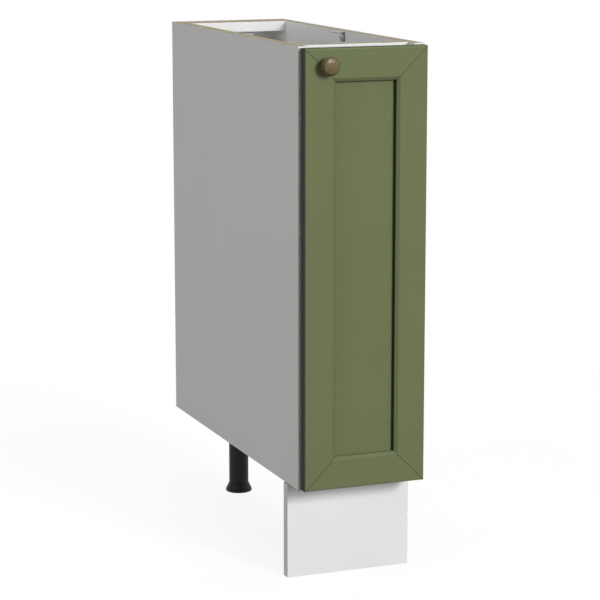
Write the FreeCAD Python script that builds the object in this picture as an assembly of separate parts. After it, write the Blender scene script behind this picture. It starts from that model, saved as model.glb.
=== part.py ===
import FreeCAD, Part
import math
import os
from FreeCAD import Vector

# Millimetres. X runs right from the carcass's left face, Y runs back from the carcass's
# front plane and Z runs up from the floor.

# Carcass boards
carcass_width = 200.0
carcass_depth = 580.0
carcass_height = 662.0
leg_height = 150.0
board = 16.0
band = 1.0
back_thickness = 3.0
back_inset = 1.0
front_rail_height = 54.0
front_rail_set_back = 23.5
rear_rail_depth = 54.0

# Shelf on four pins
shelf_height = 330.0
shelf_set_back = 30.0
shelf_rear_gap = 7.0
shelf_side_gap = 0.5
pin_radius = 2.5
pin_seat = 8.0
pin_lug_length = 7.0
pin_lug_width = 6.0
pin_lug_height = 6.0
front_pin_inset = 40.0
rear_pin_inset = 60.0

# Door: mitred frame with a bevelled inner edge, a fine groove at each mitre and a flat panel in a groove
door_side_reveal = 3.0
door_end_reveal = 2.0
door_gap = 1.5
door_thickness = 18.0
frame_width = 49.0
bevel_width = 5.0
bevel_drop = 3.4
edge_round = 2.5
mitre_groove = 0.5
panel_thickness = 5.0
panel_lip = 2.5
groove_depth = 8.0
panel_play = 0.5

# Knob on the upper left corner, and its screw from behind
knob_from_side = 34.0
knob_from_top = 25.0
knob_radius = 14.25
knob_projection = 25.0
knob_foot_radius = 8.0
knob_foot_height = 2.5
knob_neck_radius = 5.5
knob_neck_start = 5.0
knob_neck_end = 9.5
knob_rim_start = 13.5
knob_rim_end = 16.0
knob_ring_radius = 12.2
knob_ring_width = 0.7
knob_ring_depth = 0.6
knob_shoulder_rise = 1.2
knob_screw_radius = 2.0
knob_screw_play = 0.25
knob_screw_bite = 9.0
knob_screw_head_radius = 4.0
knob_screw_head_height = 2.2

bumper_radius = 4.0
bumper_thickness = 1.3
bumper_from_side = 8.0
bumper_from_end = 40.0

# Hinges: a lever turns on the arm's pin at its one end and on the cup's pin at its other
hinge_from_end = 100.0
cup_radius = 17.5
cup_depth = 12.0
cup_wall = 1.0
cup_groove_wall = 2.0
cup_flange_thickness = 1.0
cup_flange_left = 16.0
cup_flange_right = 7.5
cup_flange_half_height = 31.0
cup_screw_spread = 24.0
cup_screw_offset = 9.5
hinge_pin_radius = 1.5
hinge_pin_play = 0.05
cup_pin_offset = 9.5
cup_pin_depth = 2.5
lever_pivot_from_wall = 23.0
lever_pivot_set_back = 4.0
lever_half_height = 5.0
lever_half_thickness = 1.7
lever_eye_radius = 3.0
lever_crank = 3.0
lever_crank_from_cup = 9.0
lever_side_play = 0.3
arm_half_height = 7.5
arm_nose_radius = 2.8
arm_width = 9.0
arm_start = 24.0
arm_end = 64.0
arm_slot_radius = 13.0
plate_thickness = 6.0
plate_base = 2.0
plate_start = 22.0
plate_end = 58.0
plate_half_height = 24.0
plate_screw_set_back = 37.0
plate_screw_spread = 16.0
arm_screw_set_back = 52.0

# Worktop brackets below the upper edge of the carcass
bracket_drop = 1.0
bracket_width = 18.0
bracket_rise = 16.0
bracket_reach = 20.0
bracket_sheet = 1.4
bracket_hole_radius = 2.5
bracket_hole_reach = 14.0
bracket_screw_head_radius = 6.2
bracket_screw_head_height = 2.4
side_bracket_set_back = 275.0

# Legs
leg_side_inset = 45.0
rear_leg_inset = 43.0
tube_radius = 16.8
flange_size = 58.0
flange_thickness = 4.0
flange_corner = 6.0
flange_screw_spread = 22.5
collar_radius = 20.5
collar_height = 18.0
foot_height = 17.0
foot_radius = 22.5
foot_rim = 4.0
foot_round = 1.0
spindle_radius = 10.0
spindle_length = 42.0
spindle_play = 0.1

# Plinth on clips that hold the front legs
plinth_set_back = 45.0
plinth_floor_gap = 1.0
plinth_top_gap = 2.0
clip_reach = 31.0
clip_height = 70.0
clip_plate = 3.0
clip_plate_width = 40.0
clip_plate_height = 22.0
clip_wall = 3.0
clip_play = 0.3
clip_web_width = 14.0
clip_screw_spread = 14.0

# Fasteners
screw_radius = 1.75
screw_head_radius = 3.5
screw_head_height = 1.6
board_screw_bite = 11.0
cam_radius = 7.5
cam_depth = 12.0
cam_inset = 24.0
cam_bolt_radius = 3.0
cam_bolt_seat = 11.0
dowel_radius = 4.0
dowel_seat = 10.0
dowel_reach = 20.0
front_joint_set_back = 160.0
rear_joint_set_back = 140.0
joint_pitch = 30.0
rail_joint_pitch = 16.0
nail_radius = 0.7
nail_length = 18.0
nail_head_radius = 2.0
nail_head_height = 1.0
nails_per_side = 6
nail_end_margin = 30.0

# Derived places
carcass_bottom = leg_height
carcass_top = leg_height + carcass_height
board_back = carcass_depth - back_thickness
inner_left = board
inner_right = carcass_width - board
middle_x = carcass_width / 2
floor_top = carcass_bottom + board
shelf_bottom = carcass_bottom + shelf_height
door_left = door_side_reveal
door_right = carcass_width - door_side_reveal
door_width = door_right - door_left
door_bottom = carcass_bottom + door_end_reveal
door_top = carcass_top - door_end_reveal
door_length = door_top - door_bottom
door_back = -door_gap
door_front = door_back - door_thickness
panel_back = door_back - panel_lip
panel_front = panel_back - panel_thickness
front_rail_back = front_rail_set_back + board
rear_rail_front = board_back - rear_rail_depth
hinge_heights = {"lower": door_bottom + hinge_from_end, "upper": door_top - hinge_from_end}
cup_x = door_right - (frame_width - groove_depth - cup_groove_wall - cup_radius)
cup_pin_x = cup_x + cup_pin_offset
cup_pin_y = door_back - cup_pin_depth
cup_wall_middle = cup_radius - cup_wall / 2
cup_pin_half_length = math.sqrt(cup_wall_middle ** 2 - (cup_pin_offset + hinge_pin_radius) ** 2)
lever_pivot_x = inner_right - lever_pivot_from_wall
lever_pivot_y = lever_pivot_set_back
plinth_back = plinth_set_back + board
front_leg_y = plinth_back + clip_reach
rear_leg_y = carcass_depth - rear_leg_inset
front_leg_places = {
    "front_left": (leg_side_inset, front_leg_y),
    "front_right": (carcass_width - leg_side_inset, front_leg_y),
}
leg_places = {**front_leg_places, "rear": (middle_x, rear_leg_y)}
model_front = door_front - knob_projection
origin_shift = Vector(-middle_x, -(model_front + carcass_depth) / 2, 0)

along_x = Vector(1, 0, 0)
along_y = Vector(0, 1, 0)
along_z = Vector(0, 0, 1)


def box(x0, x1, y0, y1, z0, z1):
    return Part.makeBox(x1 - x0, y1 - y0, z1 - z0, Vector(x0, y0, z0))


def rod(radius, start, direction, length):
    return Part.makeCylinder(radius, length, start, direction)


def prism(points, direction):
    outline = Part.makePolygon(points + [points[0]])
    return Part.Face(outline).extrude(direction)


def screw(head_seat, direction, length, shank=screw_radius, head=screw_head_radius, height=screw_head_height):
    # a flat head that stands on its seat, with the shank running on into the board
    shank_solid = rod(shank, head_seat, direction, length)
    head_solid = rod(head, head_seat, direction * -1, height)
    return head_solid.fuse(shank_solid).removeSplitter()


def save(node, *solids):
    shape = solids[0] if len(solids) == 1 else Part.makeCompound(list(solids))
    shape.translated(origin_shift).exportStep("parts/" + node + ".step")


def joint_hardware(joint_y, joint_z, pitch_axis, pitch, cam_axis, cam_face):
    # one cam, bolt and dowel at each end of a board that stands between the side panels
    cams, bolts, dowels = [], [], []
    for wall, inward in ((inner_left, 1), (inner_right, -1)):
        inwards = along_x * inward
        end = Vector(wall, joint_y, joint_z)
        bolt = rod(cam_bolt_radius, end - inwards * cam_bolt_seat, inwards, cam_bolt_seat + cam_inset)
        centre = end + inwards * cam_inset
        centre = centre + cam_axis * (cam_face - centre.dot(cam_axis))
        to_board = cam_axis * math.copysign(1, end.dot(cam_axis) - cam_face)
        cams.append(rod(cam_radius, centre, to_board, cam_depth).cut(bolt))
        bolts.append(bolt)
        dowel_start = end + pitch_axis * pitch - inwards * dowel_seat
        dowels.append(rod(dowel_radius, dowel_start, inwards, dowel_seat + dowel_reach))
    return cams, bolts, dowels


def carcass_joints():
    sets = [
        joint_hardware(front_joint_set_back, carcass_bottom + board / 2, along_y, joint_pitch,
                       along_z, carcass_bottom),
        joint_hardware(board_back - rear_joint_set_back, carcass_bottom + board / 2, along_y, -joint_pitch,
                       along_z, carcass_bottom),
        joint_hardware(front_rail_set_back + board / 2, carcass_top - front_rail_height / 2 + rail_joint_pitch / 2,
                       along_z, -rail_joint_pitch, along_y, front_rail_back),
        joint_hardware(board_back - rear_rail_depth / 2 - rail_joint_pitch / 2, carcass_top - board / 2,
                       along_y, rail_joint_pitch, along_z, carcass_top - board),
    ]
    return [sum((list(part[i]) for part in sets), []) for i in range(3)]


def shelf_pins():
    pins = []
    for wall, inward in ((inner_left, 1), (inner_right, -1)):
        for y in (shelf_set_back + front_pin_inset, board_back - rear_pin_inset):
            inwards = along_x * inward
            height = shelf_bottom - pin_lug_height / 2
            stem = rod(pin_radius, Vector(wall, y, height), inwards * -1, pin_seat)
            far = wall + inward * pin_lug_length
            lug = box(min(wall, far), max(wall, far), y - pin_lug_width / 2, y + pin_lug_width / 2,
                      shelf_bottom - pin_lug_height, shelf_bottom)
            pins.append(lug.fuse(stem).removeSplitter())
    return pins


def back_nails():
    nails = []
    span = carcass_height - 2 * nail_end_margin
    for step in range(nails_per_side):
        z = carcass_bottom + nail_end_margin + span * step / (nails_per_side - 1)
        for x in (board / 2, carcass_width - board / 2):
            nails.append(nail(x, z))
    nails.append(nail(middle_x, carcass_bottom + board / 2))
    nails.append(nail(middle_x, carcass_top - board / 2))
    return nails


def nail(x, z):
    head = rod(nail_head_radius, Vector(x, carcass_depth, z), along_y * -1, nail_head_height)
    shank = rod(nail_radius, Vector(x, carcass_depth, z), along_y * -1, nail_length)
    return head.fuse(shank).removeSplitter()


def bracket():
    # plain angle on the wall X = 0 that reaches along +X, its upper face at Z = 0
    half = bracket_width / 2
    angle = prism([Vector(0, -half, 0), Vector(bracket_reach, -half, 0), Vector(bracket_reach, -half, -bracket_sheet),
                   Vector(bracket_sheet, -half, -bracket_sheet), Vector(bracket_sheet, -half, -bracket_rise),
                   Vector(0, -half, -bracket_rise)], along_y * bracket_width)
    hole = rod(bracket_hole_radius, Vector(bracket_hole_reach, 0, 0), along_z * -1, bracket_sheet)
    return angle.cut(hole)


def bracket_screw():
    height = -(bracket_rise + bracket_sheet) / 2
    return screw(Vector(bracket_sheet, 0, height), along_x * -1, bracket_sheet + board_screw_bite, screw_radius,
                 bracket_screw_head_radius, bracket_screw_head_height)


def bracket_places():
    # each place is a turn about Z and the point that the bracket's upper back edge moves to
    top = carcass_top - bracket_drop
    return {
        "left": (0, Vector(inner_left, side_bracket_set_back, top)),
        "right": (180, Vector(inner_right, side_bracket_set_back, top)),
        "front": (90, Vector(middle_x, front_rail_back, top)),
    }


def turned(shape, angle, place):
    copy = shape.copy()
    copy.rotate(Vector(0, 0, 0), along_z, angle)
    return copy.translated(place)


def frame_member(length):
    # section across the member: X from the outer edge inwards, -Y from the back to the front
    inner_front = -(door_thickness - bevel_drop)
    flat_end = frame_width - bevel_width
    groove = frame_width - groove_depth
    lip_front = -(panel_lip + panel_thickness)
    corner_start = Vector(0, -(door_thickness - edge_round), 0)
    corner_end = Vector(edge_round, -door_thickness, 0)
    diagonal = edge_round * (1 - math.sqrt(0.5))
    corner_middle = Vector(diagonal, -(door_thickness - diagonal), 0)
    path = [corner_end, Vector(flat_end, -door_thickness, 0), Vector(frame_width, inner_front, 0),
            Vector(frame_width, lip_front, 0), Vector(groove, lip_front, 0), Vector(groove, -panel_lip, 0),
            Vector(frame_width, -panel_lip, 0), Vector(frame_width, 0, 0), Vector(0, 0, 0), corner_start]
    edges = [Part.LineSegment(a, b).toShape() for a, b in zip(path, path[1:])]
    edges.append(Part.Arc(corner_start, corner_middle, corner_end).toShape())
    member = Part.Face(Part.Wire(edges)).extrude(along_z * length)
    through = along_y * -door_thickness
    low_mitre = prism([Vector(0, 0, 0), Vector(frame_width, 0, 0), Vector(frame_width, 0, frame_width)], through)
    high_mitre = prism([Vector(0, 0, length), Vector(frame_width, 0, length - frame_width),
                        Vector(frame_width, 0, length)], through)
    front = -door_thickness
    groove_side = mitre_groove * math.sqrt(2)
    low_groove = prism([Vector(0, front, 0), Vector(0, front, groove_side), Vector(0, front + mitre_groove, 0)],
                       Vector(frame_width, 0, frame_width))
    high_groove = prism([Vector(0, front, length), Vector(0, front, length - groove_side),
                         Vector(0, front + mitre_groove, length)], Vector(frame_width, 0, -frame_width))
    return member.cut([low_mitre, high_mitre, low_groove, high_groove])


def door_frame():
    places = {
        "door_left_stile": (door_length, 0, Vector(door_left, door_back, door_bottom)),
        "door_right_stile": (door_length, 180, Vector(door_right, door_back, door_top)),
        "door_bottom_rail": (door_width, -90, Vector(door_right, door_back, door_bottom)),
        "door_top_rail": (door_width, 90, Vector(door_left, door_back, door_top)),
    }
    members = {}
    for node, (length, angle, place) in places.items():
        member = frame_member(length)
        member.rotate(Vector(0, 0, 0), along_y, angle)
        members[node] = member.translated(place)
    return members


def knob_axis_point(distance):
    return Vector(door_left + knob_from_side, door_front - distance, door_top - knob_from_top)


def knob(screw_solid):
    # half section: X is the radius and Z the distance in front of the door
    ring_outer = knob_ring_radius + knob_ring_width
    shoulder = knob_rim_end + knob_shoulder_rise
    ring_floor = shoulder - knob_ring_depth
    dome_rise = knob_projection - shoulder
    dome_sphere = (knob_ring_radius ** 2 + dome_rise ** 2) / (2 * dome_rise)
    half_way = knob_ring_radius / 2
    dome_crown = knob_projection - dome_sphere + math.sqrt(dome_sphere ** 2 - half_way ** 2)
    outline = [Vector(0, 0, 0), Vector(knob_foot_radius, 0, 0), Vector(knob_foot_radius, 0, knob_foot_height),
               Vector(knob_neck_radius, 0, knob_neck_start), Vector(knob_neck_radius, 0, knob_neck_end),
               Vector(knob_radius, 0, knob_rim_start), Vector(knob_radius, 0, knob_rim_end),
               Vector(ring_outer, 0, shoulder), Vector(ring_outer, 0, ring_floor),
               Vector(knob_ring_radius, 0, ring_floor), Vector(knob_ring_radius, 0, shoulder)]
    tip = Vector(0, 0, knob_projection)
    edges = [Part.LineSegment(a, b).toShape() for a, b in zip(outline, outline[1:])]
    edges.append(Part.Arc(outline[-1], Vector(half_way, 0, dome_crown), tip).toShape())
    edges.append(Part.LineSegment(tip, outline[0]).toShape())
    body = Part.Face(Part.Wire(edges)).revolve(Vector(0, 0, 0), along_z, 360)
    body.rotate(Vector(0, 0, 0), along_x, 90)
    return body.translated(knob_axis_point(0)).cut(screw_solid)


def knob_screw():
    seat = knob_axis_point(-door_thickness)
    return screw(seat, along_y * -1, door_thickness + knob_screw_bite, knob_screw_radius,
                 knob_screw_head_radius, knob_screw_head_height)


def bumpers():
    x = door_left + bumper_from_side
    return [rod(bumper_radius, Vector(x, door_back, z), along_y, bumper_thickness)
            for z in (door_bottom + bumper_from_end, door_top - bumper_from_end)]


def cup_pin(height):
    return rod(hinge_pin_radius, Vector(cup_pin_x, cup_pin_y, height - cup_pin_half_length), along_z,
               2 * cup_pin_half_length)


def cup_bore(height):
    return rod(cup_radius, Vector(cup_x, door_back, height), along_y * -1, cup_depth)


def cup_screws(height):
    x = cup_x - cup_screw_offset
    seat_y = door_back + cup_flange_thickness
    return [screw(Vector(x, seat_y, height + side * cup_screw_spread), along_y * -1,
                  cup_flange_thickness + board_screw_bite) for side in (-1, 1)]


def hinge_cup(height):
    flange = box(cup_x - cup_flange_left, cup_x + cup_flange_right, door_back, door_back + cup_flange_thickness,
                 height - cup_flange_half_height, height + cup_flange_half_height)
    hollow = rod(cup_radius - cup_wall, Vector(cup_x, door_back + cup_flange_thickness, height), along_y * -1,
                 cup_depth + cup_flange_thickness - cup_wall)
    return cup_bore(height).fuse(flange).cut([hollow, cup_pin(height)] + cup_screws(height))


def lever_eye(x, y, height, radius, half_height):
    return rod(radius, Vector(x, y, height - half_height), along_z, 2 * half_height)


def lever_bar(start, end):
    across = along_z.cross(end - start).normalize() * lever_half_thickness
    return prism([start - across, end - across, end + across, start + across], along_z * 2 * lever_half_height)


def hinge_lever(height):
    # two straight runs that meet at a crank, which keeps clear of the cup's rim when the door is open
    low = height - lever_half_height
    pivot = Vector(lever_pivot_x, lever_pivot_y, low)
    cup_end = Vector(cup_pin_x, cup_pin_y, low)
    back_along = (pivot - cup_end).normalize()
    crank = cup_end + back_along * lever_crank_from_cup + along_z.cross(back_along) * lever_crank
    bend = lever_eye(crank.x, crank.y, height, lever_half_thickness, lever_half_height)
    ends = ((lever_pivot_x, lever_pivot_y), (cup_pin_x, cup_pin_y))
    eyes = [lever_eye(x, y, height, lever_eye_radius, lever_half_height) for x, y in ends]
    holes = [lever_eye(x, y, height, hinge_pin_radius + hinge_pin_play, lever_half_height) for x, y in ends]
    return lever_bar(pivot, crank).fuse([lever_bar(crank, cup_end), bend] + eyes).removeSplitter().cut(holes)


def arm_pin(height):
    return lever_eye(lever_pivot_x, lever_pivot_y, height, hinge_pin_radius, arm_half_height)


def arm_screw(height):
    seat = Vector(inner_right - plate_thickness - arm_width, arm_screw_set_back, height)
    return screw(seat, along_x, arm_width + plate_thickness)


def hinge_arm(height):
    # a straight foot on the mounting plate, and a nose that reaches forward to the lever's pivot
    low = height - arm_half_height
    foot_right = inner_right - plate_thickness
    foot_left = foot_right - arm_width
    foot = box(foot_left, foot_right, arm_start, arm_end, low, height + arm_half_height)
    pivot = Vector(lever_pivot_x, lever_pivot_y, low)
    root = Vector(foot_left + arm_width / 2, arm_start + arm_nose_radius, low)
    across = along_z.cross(root - pivot).normalize() * arm_nose_radius
    rise = along_z * 2 * arm_half_height
    nose = prism([pivot - across, root - across, root + across, pivot + across], rise)
    tip = lever_eye(lever_pivot_x, lever_pivot_y, height, arm_nose_radius, arm_half_height)
    slot = lever_eye(lever_pivot_x, lever_pivot_y, height, arm_slot_radius, lever_half_height + lever_side_play)
    whole = foot.fuse([nose, tip]).removeSplitter()
    return whole.cut([slot, arm_pin(height), arm_screw(height)])


def plate_screws(height):
    return [screw(Vector(inner_right - plate_base, plate_screw_set_back, height + side * plate_screw_spread),
                  along_x, plate_base + board_screw_bite) for side in (-1, 1)]


def mounting_plate(height):
    base = box(inner_right - plate_base, inner_right, plate_start, plate_end,
               height - plate_half_height, height + plate_half_height)
    ridge = box(inner_right - plate_thickness, inner_right, plate_start, plate_end,
                height - arm_half_height, height + arm_half_height)
    return base.fuse(ridge).removeSplitter().cut(plate_screws(height) + [arm_screw(height)])


def flange_screws(x, y):
    seat_z = carcass_bottom - flange_thickness
    offsets = (-flange_screw_spread, flange_screw_spread)
    return [screw(Vector(x + dx, y + dy, seat_z), along_z, flange_thickness + board_screw_bite)
            for dx in offsets for dy in offsets]


def leg_flange(x, y):
    half = flange_size / 2
    plate = box(x - half, x + half, y - half, y + half, carcass_bottom - flange_thickness, carcass_bottom)
    upright = [e for e in plate.Edges if abs(e.Vertexes[0].Z - e.Vertexes[1].Z) > flange_thickness / 2]
    plate = plate.makeFillet(flange_corner, upright)
    collar_top = Vector(x, y, carcass_bottom - flange_thickness)
    collar = rod(collar_radius, collar_top, along_z * -1, collar_height)
    socket = rod(tube_radius, collar_top, along_z * -1, collar_height)
    return plate.fuse(collar).removeSplitter().cut([socket] + flange_screws(x, y))


def leg_tube(x, y):
    length = carcass_bottom - flange_thickness - foot_height
    base = Vector(x, y, foot_height)
    bore = rod(spindle_radius + spindle_play, base, along_z, length)
    return rod(tube_radius, base, along_z, length).cut(bore)


def leg_foot(x, y):
    rim = rod(foot_radius, Vector(x, y, 0), along_z, foot_rim)
    lower = [e for e in rim.Edges if e.BoundBox.ZMax < foot_rim / 2]
    rim = rim.makeFillet(foot_round, lower)
    flare = Part.makeCone(foot_radius, tube_radius, foot_height - foot_rim, Vector(x, y, foot_rim))
    spindle = rod(spindle_radius, Vector(x, y, 0), along_z, foot_height + spindle_length)
    core = spindle.common(rod(foot_radius, Vector(x, y, foot_rim), along_z, foot_height + spindle_length))
    return rim.fuse([flare, core]).removeSplitter()


def clip_screws(x):
    return [screw(Vector(x + side * clip_screw_spread, plinth_back + clip_plate, clip_height), along_y * -1,
                  clip_plate + board_screw_bite) for side in (-1, 1)]


def plinth_clip(x, y):
    # a plate on the plinth, a web, and a half ring that holds the front of the leg tube
    low = clip_height - clip_plate_height / 2
    high = clip_height + clip_plate_height / 2
    inner = tube_radius + clip_play
    outer = inner + clip_wall
    plate = box(x - clip_plate_width / 2, x + clip_plate_width / 2, plinth_back, plinth_back + clip_plate, low, high)
    web = box(x - clip_web_width / 2, x + clip_web_width / 2, plinth_back, y, low, high)
    ring = rod(outer, Vector(x, y, low), along_z, high - low).common(box(x - outer, x + outer, y - outer, y, low, high))
    bore = rod(inner, Vector(x, y, low), along_z, high - low)
    return plate.fuse([web, ring]).removeSplitter().cut([bore] + clip_screws(x))


def save_carcass():
    cams, bolts, dowels = carcass_joints()
    pins = shelf_pins()
    nails = back_nails()
    places = bracket_places()
    bracket_fixings = [turned(bracket_screw(), *place) for place in places.values()]
    plate_fixings = [s for height in hinge_heights.values() for s in plate_screws(height)]
    flange_fixings = [s for x, y in leg_places.values() for s in flange_screws(x, y)]
    inserts = bolts + dowels
    sides = {"left_side_panel": (0, board), "right_side_panel": (inner_right, carcass_width)}
    for node, (x0, x1) in sides.items():
        panel = box(x0, x1, band, board_back, carcass_bottom, carcass_top)
        save(node, panel.cut(inserts + pins + nails + bracket_fixings + plate_fixings))
    save("left_edge_band", box(0, board, 0, band, carcass_bottom, carcass_top))
    save("right_edge_band", box(inner_right, carcass_width, 0, band, carcass_bottom, carcass_top))
    floor_panel = box(inner_left, inner_right, band, board_back, carcass_bottom, floor_top)
    save("bottom_panel", floor_panel.cut(inserts + cams + nails + flange_fixings))
    save("bottom_edge_band", box(inner_left, inner_right, 0, band, carcass_bottom, floor_top))
    back = box(back_inset, carcass_width - back_inset, board_back, carcass_depth,
               carcass_bottom + back_inset, carcass_top - back_inset)
    save("back_panel", back.cut(nails))
    front_rail = box(inner_left, inner_right, front_rail_set_back, front_rail_back,
                     carcass_top - front_rail_height, carcass_top)
    save("front_top_rail", front_rail.cut(inserts + cams + bracket_fixings))
    rear_rail = box(inner_left, inner_right, rear_rail_front + band, board_back, carcass_top - board, carcass_top)
    save("rear_top_rail", rear_rail.cut(inserts + cams + nails))
    save("rear_rail_edge_band", box(inner_left, inner_right, rear_rail_front, rear_rail_front + band,
                                    carcass_top - board, carcass_top))
    shelf_left = inner_left + shelf_side_gap
    shelf_right = inner_right - shelf_side_gap
    save("shelf", box(shelf_left, shelf_right, shelf_set_back + band, board_back - shelf_rear_gap,
                      shelf_bottom, shelf_bottom + board))
    save("shelf_edge_band", box(shelf_left, shelf_right, shelf_set_back, shelf_set_back + band,
                                shelf_bottom, shelf_bottom + board))
    save("shelf_pins", *pins)
    save("cam_housings", *cams)
    save("cam_bolts", *bolts)
    save("dowels", *dowels)
    save("back_panel_nails", *nails)
    for side, place in places.items():
        save(side + "_worktop_bracket", turned(bracket().cut(bracket_screw()), *place))
    save("worktop_bracket_screws", *bracket_fixings)


def save_hinges():
    heights = hinge_heights.values()
    for level, height in hinge_heights.items():
        save(level + "_mounting_plate", mounting_plate(height))
        save(level + "_hinge_arm", hinge_arm(height))
        save(level + "_hinge_lever", hinge_lever(height))
        save(level + "_hinge_cup", hinge_cup(height))
    save("mounting_plate_screws", *[s for height in heights for s in plate_screws(height)])
    save("hinge_arm_screws", *[arm_screw(height) for height in heights])
    save("hinge_arm_pins", *[arm_pin(height) for height in heights])
    save("hinge_cup_pins", *[cup_pin(height) for height in heights])
    save("hinge_cup_screws", *[s for height in heights for s in cup_screws(height)])


def save_door():
    fixing = knob_screw()
    passage = rod(knob_screw_radius + knob_screw_play, knob_axis_point(-door_thickness), along_y * -1, door_thickness)
    heights = hinge_heights.values()
    cup_tools = [cup_bore(height) for height in heights] + [s for height in heights for s in cup_screws(height)]
    for node, member in door_frame().items():
        save(node, member.cut([passage] + cup_tools))
    panel_inset = frame_width - groove_depth + panel_play
    save("door_panel", box(door_left + panel_inset, door_right - panel_inset, panel_front, panel_back,
                           door_bottom + panel_inset, door_top - panel_inset))
    save("knob", knob(fixing))
    save("knob_screw", fixing)
    save("door_bumpers", *bumpers())


def save_base():
    for side, (x, y) in leg_places.items():
        save(side + "_leg_flange", leg_flange(x, y))
        save(side + "_leg_tube", leg_tube(x, y))
        save(side + "_foot", leg_foot(x, y))
    save("leg_flange_screws", *[s for x, y in leg_places.values() for s in flange_screws(x, y)])
    clip_fixings = [s for x, y in front_leg_places.values() for s in clip_screws(x)]
    plinth = box(0, carcass_width, plinth_set_back, plinth_back, plinth_floor_gap, carcass_bottom - plinth_top_gap)
    save("plinth_board", plinth.cut(clip_fixings))
    for side, (x, y) in front_leg_places.items():
        save(side + "_plinth_clip", plinth_clip(x, y))
    save("plinth_clip_screws", *clip_fixings)


os.makedirs("parts", exist_ok=True)
save_carcass()
save_hinges()
save_door()
save_base()
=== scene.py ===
import math

import bmesh
import bpy
import numpy as np
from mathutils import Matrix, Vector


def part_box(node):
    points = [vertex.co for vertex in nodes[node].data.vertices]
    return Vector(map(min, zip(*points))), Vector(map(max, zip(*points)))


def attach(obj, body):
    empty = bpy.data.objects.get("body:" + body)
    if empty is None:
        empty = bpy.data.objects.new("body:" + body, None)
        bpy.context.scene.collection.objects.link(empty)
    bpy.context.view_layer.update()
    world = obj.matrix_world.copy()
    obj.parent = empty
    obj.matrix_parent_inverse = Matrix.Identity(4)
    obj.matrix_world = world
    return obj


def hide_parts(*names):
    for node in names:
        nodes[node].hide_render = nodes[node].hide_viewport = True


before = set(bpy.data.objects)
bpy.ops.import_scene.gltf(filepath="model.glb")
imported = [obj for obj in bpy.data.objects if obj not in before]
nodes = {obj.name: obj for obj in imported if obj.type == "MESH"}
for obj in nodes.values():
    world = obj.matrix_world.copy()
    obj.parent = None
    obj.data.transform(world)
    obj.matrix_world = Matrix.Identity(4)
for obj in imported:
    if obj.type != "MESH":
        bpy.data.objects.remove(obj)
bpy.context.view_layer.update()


def srgb(red, green, blue):
    # a colour as a picture shows it, 0 to 255, to the linear values that a socket takes
    shown = np.array([red, green, blue]) / 255
    linear = np.where(shown <= 0.04045, shown / 12.92, ((shown + 0.055) / 1.055) ** 2.4)
    return (*(float(c) for c in linear), 1.0)


class Wire:
    # one socket of a node tree; arithmetic on it adds Math nodes
    def __init__(self, tree, socket=None):
        self.tree, self.socket = tree, socket

    def add(self, kind, settings=None, inputs=None, out=0):
        # a node of any type: its settings first, then the values or links of its sockets
        node = self.tree.nodes.new("ShaderNode" + kind)
        for name, value in (settings or {}).items():
            setattr(node, name, value)
        for name, value in (inputs or {}).items():
            if isinstance(value, Wire):
                self.tree.links.new(value.socket, node.inputs[name])
            else:
                node.inputs[name].default_value = value
        if isinstance(out, tuple):
            return [Wire(self.tree, node.outputs[o]) for o in out]
        return Wire(self.tree, node.outputs[out]) if node.outputs else None

    def math(self, operation, *values):
        return self.add("Math", {"operation": operation}, dict(enumerate(values)))

    def __add__(self, other): return self.math("ADD", self, other)
    def __radd__(self, other): return self.math("ADD", other, self)
    def __sub__(self, other): return self.math("SUBTRACT", self, other)
    def __rsub__(self, other): return self.math("SUBTRACT", other, self)
    def __mul__(self, other): return self.math("MULTIPLY", self, other)
    def __rmul__(self, other): return self.math("MULTIPLY", other, self)
    def __pow__(self, other): return self.math("POWER", self, other)
    def __abs__(self): return self.math("ABSOLUTE", self)
    def __gt__(self, other): return self.math("GREATER_THAN", self, other)
    def __lt__(self, other): return self.math("LESS_THAN", self, other)
    def __or__(self, other): return self.math("MAXIMUM", self, other)
    def __and__(self, other): return self.math("MINIMUM", self, other)

    def split(self):
        # a place as its x, y and z
        return self.add("SeparateXYZ", None, {0: self}, out=(0, 1, 2))

    def blend(self, other, share):
        # this value with a share of another in it
        return self * (1 - share) + other * share

    def ramp(self, low, high, toLow=0.0, toHigh=1.0):
        # low to high becomes toLow to toHigh, eased and held at both ends
        return self.add("MapRange", {"interpolation_type": "SMOOTHSTEP"},
                        {0: self, 1: low, 2: high, 3: toLow, 4: toHigh})

    def tint(self, colourA, colourB):
        # this value mixes colour A, at 0, into colour B, at 1
        return self.add("Mix", {"data_type": "RGBA"}, {0: self, 6: colourA, 7: colourB}, out=2)

    def noise(self, pitch, detail, stretch=(1, 1, 1), seed=0.0, fade=0.55):
        # soft noise with lumps about one pitch apart, in metres, drawn out along the axes by stretch
        place = self.add("Mapping", None, {"Vector": self, "Location": (seed, seed, seed),
                                           "Scale": tuple(1 / (pitch * s) for s in stretch)})
        return self.add("TexNoise", None, {"Vector": place, "Scale": 1.0, "Detail": detail, "Roughness": fade})

    def cells(self, pitch, stretch):
        # chips about one pitch wide, drawn out by stretch, each with its own random colour
        place = self.add("Mapping", None, {"Vector": self, "Scale": tuple(1 / (pitch * s) for s in stretch)})
        return self.add("TexVoronoi", None, {"Vector": place, "Scale": 1.0}, out=1)

    def bump(self, height, strength):
        # this value, 0 to 1, as relief of that height in metres
        return self.add("Bump", None, {"Strength": strength, "Distance": height, "Height": self})


def startFinish(name):
    # an empty material, a wrapper of its node tree, and the Object coordinates
    material = bpy.data.materials.new(name)
    material.use_nodes = True
    material.node_tree.nodes.clear()
    wire = Wire(material.node_tree)
    return material, wire, wire.add("TexCoord", out="Object")


def endFinish(material, wire, inputs):
    shader = wire.add("BsdfPrincipled", None, inputs)
    wire.add("OutputMaterial", None, {"Surface": shader})
    return material


def dress(nodeName, material):
    node = nodes[nodeName]
    node.data.materials.clear()
    node.data.materials.append(material)


def roundAngles(sides):
    return np.linspace(0, 2 * math.pi, sides, endpoint=False)


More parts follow.
